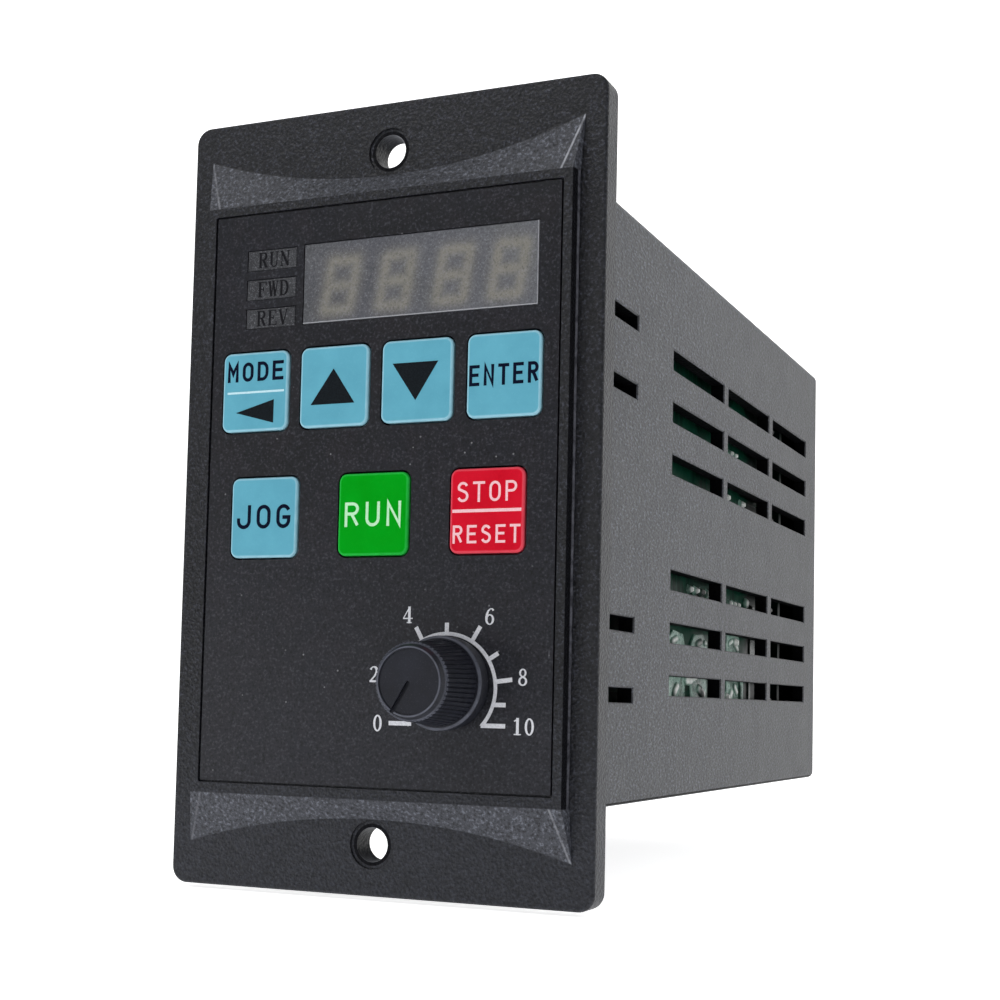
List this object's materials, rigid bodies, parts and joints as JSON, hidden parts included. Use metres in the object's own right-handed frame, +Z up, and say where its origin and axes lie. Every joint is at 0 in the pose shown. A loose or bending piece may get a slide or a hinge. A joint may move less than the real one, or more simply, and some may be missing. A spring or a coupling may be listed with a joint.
{
  "type": "variable frequency drive",
  "caption": "Panel-mount variable frequency drive: flanged front with keypad, digit display and speed knob on a slotted deep box with rear screw terminals.",
  "frame": {"origin": "centre of the flange's rear seating face, midway between the two mounting holes", "axes": "+X right seen from the front, +Y rearwards into the panel, +Z up"},
  "size_m": [0.0608, 0.1478, 0.104],
  "materials": {
    "capacitor_sleeve": "shrink sleeve over an aluminium can",
    "case_black": "fine spark-eroded texture, flame-retardant ABS",
    "component_black": "moulded epoxy",
    "disc_black": "dipped epoxy",
    "disc_blue": "dipped epoxy",
    "display_grey": "grey display face",
    "display_lens": "matte translucent grey lens",
    "enamelled_copper": "enamelled copper wire",
    "ferrite_green": "epoxy-coated ferrite ring",
    "ferrite_grey": "ground ferrite",
    "film_yellow": "moulded film capacitor case",
    "fuse_glass": "glass tube with plated caps",
    "heatsink_aluminium": "extruded, mill finish",
    "indicator_lens": "matte translucent grey lens",
    "key_blue": "light blue moulded key with printed legend",
    "key_green": "green moulded key with printed legend",
    "key_red": "red moulded key with printed legend",
    "knob_black": "satin moulded",
    "lamp_clear": "diffused lamp epoxy",
    "overlay_black": "matte printed polyester film",
    "pcb_green": "green solder mask on glass-epoxy board",
    "plunger_black": "moulded",
    "pot_blue": "moulded",
    "relay_blue": "moulded relay case",
    "segment_white": "milky epoxy segments",
    "solder": "shiny tin solder",
    "tape_yellow": "yellow insulation tape over windings",
    "terminal_green": "moulded polyamide",
    "tinned_brass": "tinned",
    "zinc_cast": "die-cast metal",
    "zinc_steel": "zinc plated"
  },
  "bodies": {
    "chassis": {"bridge_rectifier": "component_black", "bulk_capacitor_lower": "capacitor_sleeve", "bulk_capacitor_upper": "capacitor_sleeve", "choke_core": "ferrite_green", "choke_windings": "enamelled_copper", "control_board_parts": "component_black", "control_pcb": "pcb_green", "control_pcb_screws": "zinc_steel", "control_terminal_block": "terminal_green", "control_terminal_screws": "zinc_steel", "display_window": "display_lens", "emi_capacitor": "film_yellow", "front_bezel": "case_black", "front_overlay": "overlay_black", "fuse": "fuse_glass", "fuse_clips": "tinned_brass", "heatsink": "heatsink_aluminium", "heatsink_screws": "zinc_steel", "indicator_windows": "indicator_lens", "inrush_thermistor": "disc_black", "interboard_header": "component_black", "interboard_socket": "component_black", "led_display_body": "display_grey", "led_display_segments": "segment_white", "pot_body": "pot_blue", "pot_bushing": "zinc_cast", "power_board_ics": "component_black", "power_module": "component_black", "power_pcb": "pcb_green", "power_terminal_block": "terminal_green", "power_terminal_screws": "zinc_steel", "precharge_relay": "relay_blue", "rear_housing": "case_black", "small_capacitors": "capacitor_sleeve", "solder_joints": "solder", "status_leds": "lamp_clear", "tact_switch_bodies": "component_black", "terminal_pcb": "pcb_green", "terminal_pcb_header": "component_black", "transformer_bobbin": "tape_yellow", "transformer_core": "ferrite_grey", "varistor": "disc_blue"},
    "speed_knob": {"speed_knob": "knob_black", "pot_shaft": "zinc_cast"},
    "mode_key": {"mode_key": "key_blue", "mode_plunger": "plunger_black"},
    "up_key": {"up_key": "key_blue", "up_plunger": "plunger_black"},
    "down_key": {"down_key": "key_blue", "down_plunger": "plunger_black"},
    "enter_key": {"enter_key": "key_blue", "enter_plunger": "plunger_black"},
    "jog_key": {"jog_key": "key_blue", "jog_plunger": "plunger_black"},
    "run_key": {"run_key": "key_green", "run_plunger": "plunger_black"},
    "stop_reset_key": {"stop_reset_key": "key_red", "stop_reset_plunger": "plunger_black"}
  },
  "joints": [
    {"name": "speed_knob_turn", "type": "hinge", "parent": "chassis", "child": "speed_knob", "pos_m": [0.0109, 0, -0.0246], "axis": [0, 1, 0], "range_deg": [0, 300]},
    {"name": "mode_key_press", "type": "slide", "parent": "chassis", "child": "mode_key", "axis": [0, 1, 0], "range_m": [0, 0.0005], "stiffness_N_per_m": 1500},
    {"name": "up_key_press", "type": "slide", "parent": "chassis", "child": "up_key", "axis": [0, 1, 0], "range_m": [0, 0.0005], "stiffness_N_per_m": 1500},
    {"name": "down_key_press", "type": "slide", "parent": "chassis", "child": "down_key", "axis": [0, 1, 0], "range_m": [0, 0.0005], "stiffness_N_per_m": 1500},
    {"name": "enter_key_press", "type": "slide", "parent": "chassis", "child": "enter_key", "axis": [0, 1, 0], "range_m": [0, 0.0005], "stiffness_N_per_m": 1500},
    {"name": "jog_key_press", "type": "slide", "parent": "chassis", "child": "jog_key", "axis": [0, 1, 0], "range_m": [0, 0.0005], "stiffness_N_per_m": 1500},
    {"name": "run_key_press", "type": "slide", "parent": "chassis", "child": "run_key", "axis": [0, 1, 0], "range_m": [0, 0.0005], "stiffness_N_per_m": 1500},
    {"name": "stop_reset_key_press", "type": "slide", "parent": "chassis", "child": "stop_reset_key", "axis": [0, 1, 0], "range_m": [0, 0.0005], "stiffness_N_per_m": 1500}
  ]
}
